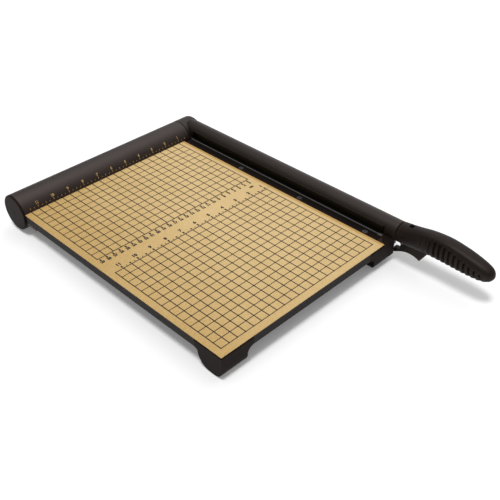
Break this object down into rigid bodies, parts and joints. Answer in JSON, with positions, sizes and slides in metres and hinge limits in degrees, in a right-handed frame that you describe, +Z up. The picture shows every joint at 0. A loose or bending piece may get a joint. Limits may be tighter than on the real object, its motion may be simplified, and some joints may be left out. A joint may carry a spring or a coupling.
{
  "type": "guillotine paper trimmer",
  "caption": "Desk paper trimmer: printed board with a bed knife, round backstop and a hinged cutting arm whose grooved handle carries a hook latch.",
  "frame": {"origin": "on the table, under the middle of the machine's box, arm down", "axes": "+X to the right across the board towards the cutting arm, +Y back towards the backstop, +Z up"},
  "size_m": [0.3332, 0.5842, 0.0661],
  "materials": {
    "board_core": "fibreboard with black painted edges",
    "printed_sheet": "tan hardboard with a printed grid, matt varnish",
    "black_steel": "black coated steel",
    "ground_steel": "ground tool steel",
    "black_casting": "light alloy with a fine textured black coat",
    "black_plastic": "moulded black plastic",
    "bearing_plastic": "moulded natural plastic",
    "bush_bronze": "sintered bronze",
    "spring_steel": "drawn spring wire",
    "shaft_steel": "turned steel",
    "screw_steel": "zinc plated steel",
    "catch_steel": "black coated steel",
    "rubber": "black rubber"
  },
  "bodies": {
    "base": {"base_board": "board_core", "board_top": "printed_sheet", "bed_knife": "black_steel", "knife_edge": "ground_steel", "knife_end_block": "ground_steel", "bed_knife_screws": "screw_steel", "backstop_housing": "black_casting", "flange_screws": "screw_steel", "block_screws": "screw_steel", "backstop_end_cap": "black_plastic", "end_cap_screw": "screw_steel", "outer_bearing_block": "bearing_plastic", "inner_bearing_block": "bearing_plastic", "outer_bush": "bush_bronze", "inner_bush": "bush_bronze", "torsion_spring": "spring_steel", "latch_catch": "catch_steel", "arm_bumper": "rubber", "catch_screws": "screw_steel", "front_left_foot": "black_plastic", "front_right_foot": "black_plastic", "foot_screws": "screw_steel", "front_pads": "rubber", "rear_pads": "rubber"},
    "arm": {"cutting_arm": "black_casting", "cutting_blade": "ground_steel", "blade_screws": "screw_steel", "pivot_shaft": "shaft_steel", "spring_collar": "shaft_steel", "collar_set_screw": "shaft_steel", "thrust_washer": "shaft_steel", "wave_washer": "shaft_steel", "shaft_nut": "shaft_steel", "left_grip": "black_plastic", "right_grip": "black_plastic", "grip_screws": "screw_steel", "latch_pin": "shaft_steel", "latch_washer": "shaft_steel"},
    "latch": {"latch_lever": "black_plastic"}
  },
  "joints": [
    {"name": "arm_pivot", "type": "hinge", "parent": "base", "child": "arm", "pos_m": [0.1384, 0.2661, 0.0295], "axis": [-1, 0, 0], "range_deg": [0, 70]},
    {"name": "latch_swing", "type": "hinge", "parent": "arm", "child": "latch", "pos_m": [0.1529, -0.1631, 0.0345], "axis": [1, 0, 0], "range_deg": [0, 12]}
  ]
}
